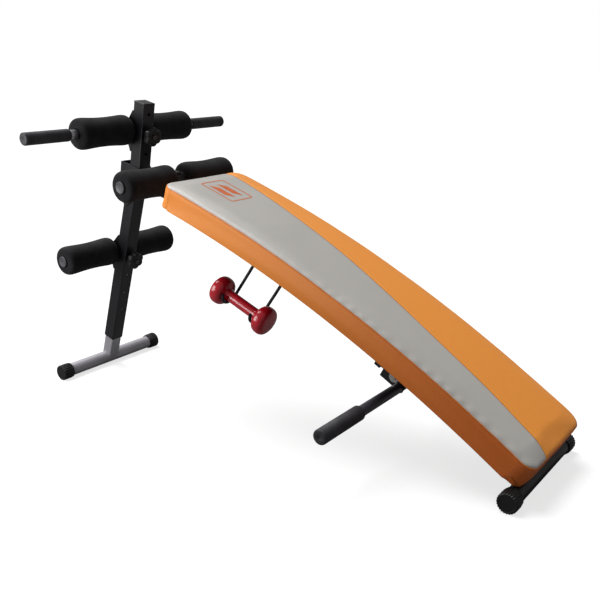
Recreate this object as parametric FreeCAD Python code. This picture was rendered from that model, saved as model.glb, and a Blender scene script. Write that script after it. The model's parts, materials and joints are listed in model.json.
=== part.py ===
import FreeCAD, Part
import math
import os

from FreeCAD import Vector, Placement, Rotation

# Decline sit-up bench.  Millimetres, +Z up, floor at z = 0.
# +X runs from the leg towards the low end of the pad, +Y is the far side; apart from the
# dumbbell rack the bench is symmetric about the plane y = 0.  The design is drawn with x = 0 under the leg, and
# DESIGN_SHIFT then moves the middle of the overall length onto the origin.

# ---- driving dimensions ----
TUBE = 40.0               # outside of the square tubes
WALL = 2.0                # their wall
GAP = 0.3                 # air between neighbouring pieces
DESIGN_SHIFT = -732.43

LEG_LEAN = 22.0           # degrees from vertical, leaning towards the pad
LEG_LENGTH = 693.6        # from the floor to the corner point where leg and mast lines meet
LEG_TUBE_START = 105.6    # lower end of the outer leg tube, measured along the leg
LEG_HOLE_START = 210.0    # lowest height hole
LEG_HOLE_PITCH = 62.0
LEG_HOLE_COUNT = 4
INNER_TUBE = 35.0         # telescoping foot tube
INNER_WALL = 1.5
PIVOT_HEIGHT = 588.0      # fold pivot, measured along the leg
LEG_TOP_ABOVE_PIVOT = 28.0

MAST_LEAN = 15.4
MAST_BOTTOM = -66.0       # measured along the mast from the corner point
MAST_TOP = 162.0
MAST_HOLES = (24.0, 78.4, 132.7)

BAR_RADIUS = 12.5         # the three roller bars and the push-up bar
BAR_WALL = 1.5
BAR_STANDOFF = 15.5       # bar axis behind a tube face
LOWER_BAR_HALF = 192.0
MIDDLE_BAR_HALF = 189.0
TOP_BAR_HALF = 339.0
FOAM_RADIUS = 40.5
FOAM_WAIST = 37.5
FOAM_SHOULDER = 19.0      # rounding at the ends of a foam
FOAM_LENGTH = 165.0
LOWER_FOAM_START = 26.0   # inner end of each foam, from the middle plane
MIDDLE_FOAM_START = 23.0
TOP_FOAM_START = 24.0
RUNNING_FIT = 0.1
DISC_RADIUS = 15.5
DISC_THICKNESS = 2.5
GRIP_RADIUS = 16.0
GRIP_START = 211.0

BOLT_RADIUS = 4.0         # M8
HOLE_RADIUS = 4.25
PIVOT_RADIUS = 5.0        # M10
KNOB_RADIUS = 26.0
KNOB_BASE = 10.0          # knob hub stands this far off the tube before the star starts
KNOB_DEPTH = 20.0
KNOB_LOBES = 6

ARC_X = -709.2            # centre of the pad's arch
ARC_Z = -2872.2
PAD_RADIUS = 3683.0       # top edge of the pad
PAD_THICKNESS = 52.0
PAD_CROWN = 4.0
PAD_WIDTH = 288.0
PAD_START = 18.96         # degrees round the arch from vertical
PAD_END = 36.50
PAD_CORNER = 37.0
BOARD_THICKNESS = 10.0
BOARD_INSET = 6.0
BEAM_TOP = PAD_RADIUS - PAD_THICKNESS - BOARD_THICKNESS
BEAM_MIDDLE = BEAM_TOP - TUBE / 2
BEAM_BOTTOM = BEAM_TOP - TUBE

MIDDLE_BAR_ANGLE = 17.69  # degrees round the arch
MIDDLE_BAR_RADIUS = 3643.5

FOOT_TUBE_RADIUS = 19.0
FOOT_CAP_RADIUS = 23.5
FOOT_CAP_LENGTH = 34.0
FOOT_FLAT = 0.6           # depth of the flat under each cap
FOOT_AXIS = FOOT_CAP_RADIUS - FOOT_FLAT
FRONT_FOOT_HALF = 184.5
REAR_FOOT_HALF = 165.6
REAR_FOOT_X = 1433.4

HANDLE_X = 1100.7
HANDLE_Z = 150.2
HANDLE_HALF = 329.5
HANDLE_GRIP_START = 186.0
HANDLE_GRIP_RADIUS = 17.3
BRACKET_PLATE = 3.0

HOOK_WIRE = 4.0           # radius
HOOK_ANGLES = (23.135, 24.685)
HOOK_BEND = 26.0
HOOK_DROP = 115.0         # bottom of the hook below the beam
HOOK_SPREAD = 102.0       # from the middle plane to the middle of the hook
HOOK_TIP = 3.0            # the tip stands this far above the middle of the bend
DUMBBELL_LENGTH = 180.0
DUMBBELL_HEAD = 36.8      # head radius
DUMBBELL_HEAD_LENGTH = 37.0
DUMBBELL_HANDLE = 14.5

LEG_FOLD_STOP_HEIGHT = 608.0
Y_AXIS = Vector(0, 1, 0)


# ---- frames of reference ----
def tilted(x, z, degrees):
    """Local z leans from vertical towards +X by the angle; local x then points down-slope."""
    return Placement(Vector(x, 0, z), Rotation(Y_AXIS, degrees))


def on_arch(degrees, radius):
    """A frame on the pad's arch: local z points away from the centre of the arch."""
    angle = math.radians(degrees)
    return tilted(ARC_X + radius * math.sin(angle), ARC_Z + radius * math.cos(angle), degrees)


def along(frame, height):
    """The same frame moved up its own z."""
    return frame.multiply(Placement(Vector(0, 0, height), Rotation()))


LEG = tilted(0, 0, LEG_LEAN)
CORNER = LEG.multVec(Vector(0, 0, LEG_LENGTH))
MAST = tilted(CORNER.x, CORNER.z, MAST_LEAN)
FRONT_FOOT_X = FOOT_AXIS * math.tan(math.radians(LEG_LEAN))


# ---- shape helpers ----
def placed(shape, frame):
    """The shape moved from a local frame into the design frame."""
    result = shape.copy()
    result.Placement = frame.multiply(result.Placement)
    return result


def block(x0, x1, y0, y1, z0, z1):
    return Part.makeBox(x1 - x0, y1 - y0, z1 - z0, Vector(x0, y0, z0))


def rod(start, end, radius):
    """A round bar between two points."""
    return Part.makeCylinder(radius, start.distanceToPoint(end), start, end - start)


def cross_rod(x, z, radius, y0, y1):
    """A round bar along Y."""
    return rod(Vector(x, y0, z), Vector(x, y1, z), radius)


def square_tube(z0, z1, size, wall):
    half = size / 2
    core = half - wall
    outer = block(-half, half, -half, half, z0, z1)
    outer = outer.makeFillet(3.0, [e for e in outer.Edges if abs(e.tangentAt(e.FirstParameter).z) > 0.99])
    return outer.cut(block(-core, core, -core, core, z0 - 1, z1 + 1))


def through_hole(height, radius):
    """A drill along local x, through both faces of a tube."""
    return rod(Vector(-TUBE, 0, height), Vector(TUBE, 0, height), radius)


def face_of(points):
    return Part.Face(Part.makePolygon(points + [points[0]]))


def mirrored(shape):
    return shape.mirror(Vector(0, 0, 0), Y_AXIS)


def arch_sector(inner, outer, half_width, start, end):
    """A block that follows the arch, between two angles."""
    section = face_of([Vector(ARC_X, -half_width, ARC_Z + inner), Vector(ARC_X, half_width, ARC_Z + inner),
                       Vector(ARC_X, half_width, ARC_Z + outer), Vector(ARC_X, -half_width, ARC_Z + outer)])
    centre = Vector(ARC_X, 0, ARC_Z)
    section.rotate(centre, Y_AXIS, start)
    return section.revolve(centre, Y_AXIS, end - start)


def hexagon(radius, y0, y1):
    """A hexagonal prism along Y, radius to the corners."""
    corners = [Vector(radius * math.cos(math.pi * k / 3), y0, radius * math.sin(math.pi * k / 3))
               for k in range(6)]
    return face_of(corners).extrude(Vector(0, y1 - y0, 0))


# ---- pieces that repeat ----
def foam(start, end):
    """Foam roller along Y with rounded, slightly swollen ends and a bore for its bar."""
    middle = (start + end) / 2
    bore = BAR_RADIUS + RUNNING_FIT
    shoulder = FOAM_SHOULDER
    bend = shoulder * (1 - math.sqrt(0.5))
    flat = FOAM_RADIUS - shoulder

    def at(y, radius):
        return Vector(0, y, radius)

    edges = [
        Part.LineSegment(at(start, bore), at(start, flat)),
        Part.Arc(at(start, flat), at(start + bend, FOAM_RADIUS - bend), at(start + shoulder, FOAM_RADIUS)),
        Part.Arc(at(start + shoulder, FOAM_RADIUS), at(middle, FOAM_WAIST), at(end - shoulder, FOAM_RADIUS)),
        Part.Arc(at(end - shoulder, FOAM_RADIUS), at(end - bend, FOAM_RADIUS - bend), at(end, flat)),
        Part.LineSegment(at(end, flat), at(end, bore)),
        Part.LineSegment(at(end, bore), at(start, bore)),
    ]
    outline = Part.Wire([edge.toShape() for edge in edges])
    return Part.Face(outline).revolve(Vector(0, 0, 0), Y_AXIS, 360)


def near_and_far(name, shape_far):
    """Two mirrored pieces, one node each."""
    return {name + "_near": mirrored(shape_far), name + "_far": shape_far}


def round_bar(half_length):
    """A round tube along Y, drilled across its middle for its bolt."""
    bar = cross_rod(0, 0, BAR_RADIUS, -half_length, half_length)
    bar = bar.cut(cross_rod(0, 0, BAR_RADIUS - BAR_WALL, -half_length - 1, half_length + 1))
    return bar.cut(rod(Vector(-TUBE, 0, 0), Vector(TUBE, 0, 0), HOLE_RADIUS))


def bar_plugs(half_length):
    """The two moulded plugs in the ends of a roller bar, each with a round flange."""
    stem = cross_rod(0, 0, BAR_RADIUS - BAR_WALL - 0.05, half_length - 15, half_length)
    flange = cross_rod(0, 0, DISC_RADIUS, half_length, half_length + 4)
    flange = flange.makeFillet(2.0, [e for e in flange.Edges if e.BoundBox.YMin > half_length + 3.9])
    plug = stem.fuse(flange).removeSplitter()
    return Part.makeCompound([plug, mirrored(plug)])


def foam_discs(positions):
    """Loose plastic discs beside the foams."""
    discs = []
    for y in positions:
        disc = cross_rod(0, 0, DISC_RADIUS, y, y + DISC_THICKNESS)
        disc = disc.cut(cross_rod(0, 0, BAR_RADIUS + 0.05, y - 1, y + DISC_THICKNESS + 1))
        discs += [disc, mirrored(disc)]
    return Part.makeCompound(discs)


def saddle(standoff, reach):
    """Pressed saddle: a flat back on the tube and a hump round the bar, whose axis is the origin.

    The tube face is at local x = standoff; the saddle runs reach above and below the bar."""
    hump = BAR_RADIUS + 4.0
    face = standoff - GAP
    foot = 4.0
    half_width = TUBE / 2 - 1
    foot_x = face - foot
    distance = math.hypot(foot_x, reach)
    turn = math.acos(hump / distance)
    direction = math.atan2(reach, foot_x)
    touch = direction + turn
    upper = Vector(hump * math.cos(touch), 0, hump * math.sin(touch))
    lower = Vector(upper.x, 0, -upper.z)
    wire = Part.Wire([
        Part.LineSegment(Vector(face, 0, -reach), Vector(face, 0, reach)).toShape(),
        Part.LineSegment(Vector(face, 0, reach), Vector(foot_x, 0, reach)).toShape(),
        Part.LineSegment(Vector(foot_x, 0, reach), upper).toShape(),
        Part.Arc(upper, Vector(-hump, 0, 0), lower).toShape(),
        Part.LineSegment(lower, Vector(foot_x, 0, -reach)).toShape(),
        Part.LineSegment(Vector(foot_x, 0, -reach), Vector(face, 0, -reach)).toShape(),
    ])
    body = Part.Face(wire).extrude(Vector(0, 2 * half_width, 0))
    body.translate(Vector(0, -half_width, 0))
    body = body.cut(cross_rod(0, 0, BAR_RADIUS + 0.05, -TUBE, TUBE))
    return body.cut(rod(Vector(-TUBE, 0, 0), Vector(TUBE, 0, 0), HOLE_RADIUS))


def saddle_bolt(length):
    """Carriage bolt along local x, its domed head behind the saddle's hump."""
    head_x = -(BAR_RADIUS + 4.0) - 0.2
    shank = rod(Vector(head_x, 0, 0), Vector(length, 0, 0), BOLT_RADIUS)
    head = rod(Vector(head_x - 4.5, 0, 0), Vector(head_x, 0, 0), 9.0)
    head = head.makeFillet(4.0, [e for e in head.Edges if e.BoundBox.XMax < head_x - 4.4])
    return shank.fuse(head).removeSplitter()


def star_knob(tube_face):
    """Star knob on a bolt along local x; its hub touches down just off the tube face."""
    base = tube_face + GAP
    star = base + KNOB_BASE
    front = star + KNOB_DEPTH
    hub = rod(Vector(base, 0, 0), Vector(star, 0, 0), 12.0)
    body = rod(Vector(star, 0, 0), Vector(front, 0, 0), KNOB_RADIUS)
    for lobe in range(KNOB_LOBES):
        angle = 2 * math.pi * (lobe + 0.5) / KNOB_LOBES
        y = (KNOB_RADIUS + 6.5) * math.cos(angle)
        z = (KNOB_RADIUS + 6.5) * math.sin(angle)
        body = body.cut(rod(Vector(star - 1, y, z), Vector(front + 1, y, z), 10.0))
    knob = hub.fuse(body).removeSplitter()
    recess = rod(Vector(front - 3, 0, 0), Vector(front + 1, 0, 0), 9.0)
    bore = rod(Vector(base - 1, 0, 0), Vector(front + 1, 0, 0), BOLT_RADIUS + 0.06)
    return knob.cut(recess).cut(bore)


def foot_cap(half_length):
    """Rubber cap on the far end of a foot tube, flat underneath where it stands."""
    outer = half_length
    inner = half_length - FOOT_CAP_LENGTH
    cap = cross_rod(0, 0, FOOT_CAP_RADIUS, inner, outer)
    cap = cap.makeFillet(3.0, [e for e in cap.Edges if e.BoundBox.YMin > outer - 0.1])
    cap = cap.cut(cross_rod(0, 0, FOOT_TUBE_RADIUS, inner - 1, outer - 5))
    return cap.cut(block(-TUBE, TUBE, inner - 1, outer + 1, -TUBE, -FOOT_CAP_RADIUS + FOOT_FLAT))


def foot_tube(half_length):
    end = half_length - 5 - GAP
    tube = cross_rod(0, 0, FOOT_TUBE_RADIUS - 0.05, -end, end)
    return tube.cut(cross_rod(0, 0, FOOT_TUBE_RADIUS - WALL, -end - 1, end + 1))


def grip(start, end, radius):
    """Closed rubber grip on the far end of a bar; end is its outer face."""
    sleeve = cross_rod(0, 0, radius, start, end)
    sleeve = sleeve.makeFillet(3.0, [e for e in sleeve.Edges if e.BoundBox.YMin > end - 0.1])
    sleeve = sleeve.makeChamfer(2.5, [e for e in sleeve.Edges if e.BoundBox.YMax < start + 0.1])
    return sleeve.cut(cross_rod(0, 0, BAR_RADIUS + 0.02, start - 1, end - 3))


def hex_bolt(x, z, radius, y_head, y_nut, head_radius):
    """Bolt along Y with its washers and nut, three solids in one node."""
    shank = cross_rod(x, z, radius, y_head, y_nut + 9)
    head = hexagon(radius * 1.8, y_head - 6, y_head)
    head.translate(Vector(x, 0, z))
    bolt = shank.fuse(head).removeSplitter()
    washers = []
    for y0 in (y_head, y_nut - 2):
        washer = cross_rod(x, z, head_radius, y0, y0 + 2)
        washers.append(washer.cut(cross_rod(x, z, radius + 0.02, y0 - 1, y0 + 3)))
    nut = hexagon(radius * 1.8, y_nut, y_nut + 7)
    nut.translate(Vector(x, 0, z))
    nut = nut.cut(cross_rod(x, z, radius + 0.02, y_nut - 1, y_nut + 8))
    return Part.makeCompound([bolt, nut] + washers)


# ---- leg and front foot ----
def leg_pieces():
    holes = [LEG_HOLE_START + LEG_HOLE_PITCH * k for k in range(LEG_HOLE_COUNT)]
    outer = square_tube(LEG_TUBE_START, PIVOT_HEIGHT + LEG_TOP_ABOVE_PIVOT, TUBE, WALL)
    for height in holes:
        outer = outer.cut(through_hole(height, HOLE_RADIUS))
    outer = outer.cut(cross_rod(0, PIVOT_HEIGHT, PIVOT_RADIUS + 0.06, -TUBE, TUBE))

    bolt_height = holes[-1]
    foot_height = FOOT_AXIS / math.cos(math.radians(LEG_LEAN))
    foot_frame = tilted(FRONT_FOOT_X, FOOT_AXIS, 0)
    inner = square_tube(foot_height, bolt_height - BOLT_RADIUS - GAP, INNER_TUBE, INNER_WALL)
    inner = placed(inner, LEG)
    outside = placed(cross_rod(0, 0, FOOT_TUBE_RADIUS - 0.05, -TUBE, TUBE), foot_frame)
    inner = inner.cut(outside)
    bushing = square_tube(LEG_TUBE_START - 3, LEG_TUBE_START - GAP, TUBE, (TUBE - INNER_TUBE) / 2 - 0.2)

    bar_frame = along(LEG, bolt_height).multiply(Placement(Vector(-TUBE / 2 - BAR_STANDOFF, 0, 0), Rotation()))
    pieces = {
        "leg_outer_tube": placed(outer, LEG),
        "leg_inner_tube": inner,
        "leg_tube_bushing": placed(bushing, LEG),
        "front_foot_tube": placed(foot_tube(FRONT_FOOT_HALF), foot_frame),
    }
    for name, cap in near_and_far("front_foot_cap", foot_cap(FRONT_FOOT_HALF)).items():
        pieces[name] = placed(cap, foot_frame)
    pieces.update(roller_pieces("lower", bar_frame, LOWER_BAR_HALF, LOWER_FOAM_START))
    pieces["lower_bar_bolt"] = placed(saddle_bolt(BAR_STANDOFF + TUBE + KNOB_BASE + 12), bar_frame)
    pieces["lower_bar_knob"] = placed(star_knob(TUBE / 2), along(LEG, bolt_height))
    return pieces


def roller_pieces(prefix, frame, bar_half, foam_start):
    """Bar, saddle and foams, with the bar's axis at the frame's origin."""
    foam_end = foam_start + FOAM_LENGTH
    local = {
        prefix + "_bar": round_bar(bar_half),
        prefix + "_bar_saddle": saddle(BAR_STANDOFF, 56.0),
        prefix + "_foam_discs": foam_discs((foam_start - DISC_THICKNESS - GAP,)),
    }
    if bar_half == TOP_BAR_HALF:
        local.update(near_and_far(prefix + "_grip", grip(GRIP_START, bar_half + 3, GRIP_RADIUS)))
    else:
        local[prefix + "_bar_plugs"] = bar_plugs(bar_half)
    local.update(near_and_far(prefix + "_foam", foam(foam_start, foam_end)))
    return {name: placed(shape, frame) for name, shape in local.items()}


# ---- mast, beam and fold bracket ----
def mast_pieces():
    mast = square_tube(MAST_BOTTOM, MAST_TOP - 3, TUBE, WALL)
    for height in MAST_HOLES:
        mast = mast.cut(through_hole(height, HOLE_RADIUS))
    plug_core = TUBE / 2 - WALL - 0.1
    plug = block(-TUBE / 2, TUBE / 2, -TUBE / 2, TUBE / 2, MAST_TOP - 3 + 0.05, MAST_TOP)
    plug = plug.makeChamfer(1.5, [e for e in plug.Edges if e.BoundBox.ZMin > MAST_TOP - 0.1])
    plug = plug.fuse(block(-plug_core, plug_core, -plug_core, plug_core, MAST_TOP - 16, MAST_TOP - 2))

    bolt_height = MAST_HOLES[1]
    bar_frame = along(MAST, bolt_height).multiply(Placement(Vector(-TUBE / 2 - BAR_STANDOFF, 0, 0), Rotation()))
    pieces = {
        "mast_tube": placed(mast, MAST),
        "mast_plug": placed(plug.removeSplitter(), MAST),
    }
    pieces.update(roller_pieces("top", bar_frame, TOP_BAR_HALF, TOP_FOAM_START))
    pieces["top_bar_bolt"] = placed(saddle_bolt(BAR_STANDOFF + TUBE + KNOB_BASE + 12), bar_frame)
    pieces["top_bar_knob"] = placed(star_knob(TUBE / 2), along(MAST, bolt_height))
    pieces["fold_bracket"] = placed(fold_bracket(), MAST)
    pivot = LEG.multVec(Vector(0, 0, PIVOT_HEIGHT))
    stop = LEG.multVec(Vector(TUBE / 2 + BOLT_RADIUS + GAP, 0, LEG_FOLD_STOP_HEIGHT))
    plate = TUBE / 2 + GAP + BRACKET_PLATE
    pieces["fold_pivot_bolt"] = hex_bolt(pivot.x, pivot.z, PIVOT_RADIUS, -plate - 2, plate + 2, 10.0)
    pieces["fold_stop_bolt"] = hex_bolt(stop.x, stop.z, BOLT_RADIUS, -plate - 2, plate + 2, 7.0)
    return pieces


def fold_bracket():
    """Channel round the foot of the mast; its web stands behind, clear of the turning leg."""
    inside = TUBE / 2 + GAP
    outside = inside + BRACKET_PLATE
    back = -52.5
    top = -14.0
    low = -136.0
    outline = [(back, top), (19, top), (19, -34), (24, -46), (24, -92), (16, -99), (4, -112),
               (-20, low), (back + 24, low), (back, low + 24)]
    profile = face_of([Vector(x, -outside, z) for x, z in outline])
    channel = profile.extrude(Vector(0, 2 * outside, 0))
    channel = channel.cut(block(back + BRACKET_PLATE, 60, -inside, inside, low - 1, top + 1))
    pivot = MAST.inverse().multVec(LEG.multVec(Vector(0, 0, PIVOT_HEIGHT)))
    stop_point = LEG.multVec(Vector(TUBE / 2 + BOLT_RADIUS + GAP, 0, LEG_FOLD_STOP_HEIGHT))
    stop = MAST.inverse().multVec(stop_point)
    channel = channel.cut(cross_rod(pivot.x, pivot.z, PIVOT_RADIUS + 0.05, -TUBE, TUBE))
    return channel.cut(cross_rod(stop.x, stop.z, BOLT_RADIUS + 0.05, -TUBE, TUBE))


def beam_pieces():
    mast_angle = math.degrees(math.asin((MAST.Base.x - ARC_X) / BEAM_MIDDLE)) - 1.0
    foot_angle = math.degrees(math.asin((REAR_FOOT_X - ARC_X) / BEAM_MIDDLE))
    beam = arch_sector(BEAM_BOTTOM, BEAM_TOP, TUBE / 2, mast_angle, foot_angle)
    beam = beam.makeFillet(3.0, [e for e in beam.Edges if e.Length > 500])
    core = arch_sector(BEAM_BOTTOM + WALL, BEAM_TOP - WALL, TUBE / 2 - WALL, mast_angle - 1, foot_angle + 1)
    beam = beam.cut(core)
    mast_outside = placed(block(-200, TUBE / 2 + 0.02, -TUBE, TUBE, -300, 300), MAST)
    beam = beam.cut(mast_outside)
    foot_frame = tilted(REAR_FOOT_X, FOOT_AXIS, 0)
    beam = beam.cut(placed(cross_rod(0, 0, FOOT_TUBE_RADIUS, -TUBE, TUBE), foot_frame))

    roller_frame = on_arch(MIDDLE_BAR_ANGLE, MIDDLE_BAR_RADIUS)
    lie_down = Placement(Vector(0, 0, 0), Rotation(Y_AXIS, 90))
    rise = MIDDLE_BAR_RADIUS - BEAM_TOP
    beam = beam.cut(placed(rod(Vector(0, 0, -90), Vector(0, 0, 0), HOLE_RADIUS), roller_frame))
    pieces = {"main_beam": beam}

    upright = roller_frame.multiply(lie_down)
    pieces.update(roller_pieces("middle", upright, MIDDLE_BAR_HALF, MIDDLE_FOAM_START))
    pieces["middle_bar_saddle"] = placed(saddle(rise, 34.0), upright)
    bolt = saddle_bolt(rise + TUBE + 14)
    nut = rod(Vector(rise + TUBE + GAP, 0, 0), Vector(rise + TUBE + 7, 0, 0), 7.0)
    nut = nut.cut(rod(Vector(0, 0, 0), Vector(150, 0, 0), BOLT_RADIUS + 0.02))
    pieces["middle_bar_bolt"] = placed(Part.makeCompound([bolt, nut]), upright)

    pieces["rear_foot_tube"] = placed(foot_tube(REAR_FOOT_HALF), foot_frame)
    for name, cap in near_and_far("rear_foot_cap", foot_cap(REAR_FOOT_HALF)).items():
        pieces[name] = placed(cap, foot_frame)
    return pieces


# ---- pad ----
def pad_pieces():
    top = PAD_RADIUS + PAD_CROWN
    bottom = PAD_RADIUS - PAD_THICKNESS
    half = PAD_WIDTH / 2
    cushion = arch_sector(BEAM_TOP + 2 * GAP, top, half, PAD_START, PAD_END)
    cushion = rounded_sector(cushion, PAD_CORNER)
    rim = [e for e in cushion.Edges if is_rim(e, top)]
    cushion = cushion.makeFillet(12.0, rim)

    ease = math.degrees(BOARD_INSET / bottom)
    board = arch_sector(BEAM_TOP + GAP, bottom, half - BOARD_INSET, PAD_START + ease, PAD_END - ease)
    board = rounded_sector(board, PAD_CORNER - BOARD_INSET)
    ease -= math.degrees(GAP / bottom)
    pocket = arch_sector(BEAM_TOP - 1, bottom + GAP, half - BOARD_INSET + GAP, PAD_START + ease, PAD_END - ease)
    cushion = cushion.cut(rounded_sector(pocket, PAD_CORNER - BOARD_INSET))

    screws = []
    for fraction in (0.12, 0.5, 0.86):
        angle = PAD_START + fraction * (PAD_END - PAD_START)
        frame = on_arch(angle, BEAM_TOP)
        plate = block(-16, 16, -105, 105, -GAP - 3, -GAP)
        plate = plate.cut(block(-17, 17, -TUBE / 2 - 0.2, TUBE / 2 + 0.2, -10, 1))
        plate = placed(plate, frame)
        shanks = []
        for y in (-85, -45, 45, 85):
            head = rod(Vector(0, y, -GAP - 7), Vector(0, y, -GAP - 3), 6.0)
            shanks.append(placed(head, frame))
        screws += shanks
        screws += plate.Solids
    pieces = {"pad_cushion": cushion, "pad_board": board}
    plates = [s for s in screws if s.Volume > 2000]
    heads = [s for s in screws if s.Volume <= 2000]
    pieces["pad_support_plates"] = Part.makeCompound(plates)
    pieces["pad_screws"] = Part.makeCompound(heads)
    return pieces


def rounded_sector(sector, radius):
    """Round the four corners of the plan of an arch sector."""
    centre = Vector(ARC_X, 0, ARC_Z)
    upright = []
    for edge in sector.Edges:
        ends = [v.Point for v in edge.Vertexes]
        if len(ends) != 2 or abs(ends[0].y - ends[1].y) > 0.01:
            continue
        reach = [p.sub(Vector(centre.x, p.y, centre.z)).Length for p in ends]
        if abs(reach[0] - reach[1]) > 1:
            upright.append(edge)
    return sector.makeFillet(radius, upright)


def is_rim(edge, radius):
    """True for an edge that lies on the arch's top surface."""
    for value in (edge.FirstParameter, 0.5 * (edge.FirstParameter + edge.LastParameter), edge.LastParameter):
        point = edge.valueAt(value)
        if abs(math.hypot(point.x - ARC_X, point.z - ARC_Z) - radius) > 0.05:
            return False
    return True


# ---- push-up handle ----
def handle_pieces():
    angle = math.degrees(math.atan2(HANDLE_X - ARC_X, HANDLE_Z - ARC_Z))
    reach = math.hypot(HANDLE_X - ARC_X, HANDLE_Z - ARC_Z)
    frame = on_arch(angle, reach)
    inside = TUBE / 2 + GAP
    outside = inside + BRACKET_PLATE
    underside = BEAM_BOTTOM - reach
    front = -55.0
    back = 34.0
    outline = [(front, underside + 26), (front, -8), (-14, -8), (-10, -11), (9, -11), (13.5, -6),
               (13.5, 20), (back, 36), (back, underside + 26)]
    profile = face_of([Vector(x, -outside, z) for x, z in outline])
    bracket = profile.extrude(Vector(0, 2 * outside, 0))
    hollow = block(front + BRACKET_PLATE, back + 1, -inside, inside, -100, 200)
    bracket = bracket.cut(hollow)
    bracket = bracket.cut(block(front - 1, front + BRACKET_PLATE + 1, -inside, inside, underside - 4 * GAP, 200))
    bracket = bracket.cut(cross_rod(0, 0, BAR_RADIUS + 0.05, -TUBE, TUBE))
    clamp = Vector(-21.6, 0, 14.4)
    bracket = bracket.cut(cross_rod(clamp.x, clamp.z, BOLT_RADIUS + 0.05, -TUBE, TUBE))
    stud_z = 0.0
    bracket = bracket.cut(rod(Vector(front - 5, 0, stud_z), Vector(front + 5, 0, stud_z), HOLE_RADIUS))
    bar = cross_rod(0, 0, BAR_RADIUS, -HANDLE_HALF + 3, HANDLE_HALF - 3)
    bar = bar.cut(cross_rod(0, 0, BAR_RADIUS - BAR_WALL, -HANDLE_HALF, HANDLE_HALF))
    clamp_bolt = hex_bolt(clamp.x, clamp.z, BOLT_RADIUS, -outside - 2, outside + 2, 12.9)
    stud = rod(Vector(front - 20, 0, stud_z), Vector(front + 12, 0, stud_z), BOLT_RADIUS)
    stud_head = rod(Vector(front - 31, 0, stud_z), Vector(front - 16, 0, stud_z), 9.0)
    local = {
        "handle_bracket": bracket,
        "handle_bar": bar,
        "handle_clamp_bolt": clamp_bolt,
        "handle_stud_nut": stud.fuse(stud_head).removeSplitter(),
    }
    local.update(near_and_far("handle_grip", grip(HANDLE_GRIP_START, HANDLE_HALF, HANDLE_GRIP_RADIUS)))
    return {name: placed(shape, frame) for name, shape in local.items()}


# ---- dumbbells and their rack ----
def bent_wire(corners, bends, radius):
    """A round wire along straight runs in the local y-z plane, with a bend at each inner corner."""
    runs = []
    start = corners[0]
    for before, corner, after, bend in zip(corners, corners[1:], corners[2:], bends):
        arriving = (corner - before).normalize()
        leaving = (after - corner).normalize()
        half_turn = arriving.getAngle(leaving) / 2
        reach = bend * math.tan(half_turn)
        inward = (leaving - arriving).normalize()
        entry = corner - arriving * reach
        leave = corner + leaving * reach
        crest = corner + inward * (bend / math.cos(half_turn) - bend)
        runs += [Part.LineSegment(start, entry).toShape(), Part.Arc(entry, crest, leave).toShape()]
        start = leave
    runs.append(Part.LineSegment(start, corners[-1]).toShape())
    section = Part.Wire([Part.Circle(corners[0], corners[1] - corners[0], radius).toShape()])
    return Part.Wire(runs).makePipeShell([section], True, False)


def hook():
    """J-hook of the near side: down the beam's side, slanting out, then round under the handle."""
    side = TUBE / 2 + HOOK_WIRE + 0.02
    root = Vector(0, side, 22)
    knee = Vector(0, side, 0)
    tip = Vector(0, HOOK_SPREAD + HOOK_BEND, HOOK_BEND + HOOK_TIP - HOOK_DROP)
    outer = Vector(0, tip.y, -HOOK_DROP)
    middle = Vector(0, HOOK_SPREAD, HOOK_BEND - HOOK_DROP)
    heading = math.atan2(middle.y - knee.y, knee.z - middle.z)
    slant = heading - math.asin(HOOK_BEND / middle.distanceToPoint(knee))
    inner = Vector(0, knee.y + HOOK_DROP * math.tan(slant), -HOOK_DROP)
    wire = bent_wire([root, knee, inner, outer, tip], [14.0, HOOK_BEND - 0.05, HOOK_BEND - 0.05], HOOK_WIRE)
    return mirrored(wire)


def dumbbell():
    """Dumbbell along X about the origin: two barrel heads on a round handle."""
    half = DUMBBELL_LENGTH / 2
    neck = half - DUMBBELL_HEAD_LENGTH
    shape = rod(Vector(-half + 2, 0, 0), Vector(half - 2, 0, 0), DUMBBELL_HANDLE)
    for start in (-half, neck):
        head = rod(Vector(start, 0, 0), Vector(start + DUMBBELL_HEAD_LENGTH, 0, 0), DUMBBELL_HEAD)
        shape = shape.fuse(head.makeFillet(11.0, head.Edges[0:1] + head.Edges[2:3]))
    return shape.removeSplitter()


def rack_pieces():
    middle_angle = sum(HOOK_ANGLES) / 2
    rest = -HOOK_DROP + HOOK_WIRE + GAP + DUMBBELL_HANDLE
    frame = on_arch(middle_angle, BEAM_BOTTOM).multiply(Placement(Vector(0, -HOOK_SPREAD, rest), Rotation()))
    return {
        "dumbbell_hook_upper": placed(hook(), on_arch(HOOK_ANGLES[0], BEAM_BOTTOM)),
        "dumbbell_hook_lower": placed(hook(), on_arch(HOOK_ANGLES[1], BEAM_BOTTOM)),
        "dumbbell": placed(dumbbell(), frame),
    }


def build():
    pieces = {}
    for group in (leg_pieces, mast_pieces, beam_pieces, pad_pieces, handle_pieces, rack_pieces):
        pieces.update(group())
    for shape in pieces.values():
        shape.translate(Vector(DESIGN_SHIFT, 0, 0))
    return pieces


def main():
    os.makedirs("parts", exist_ok=True)
    for name, shape in build().items():
        shape.exportStep("parts/" + name + ".step")
        print(name, len(shape.Solids), shape.isValid(), round(shape.Volume / 1000, 1))


main()
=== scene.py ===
import json
import math

import bmesh
import bpy
import numpy as np
from mathutils import Matrix, Vector, noise
from mathutils.bvhtree import BVHTree


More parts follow.
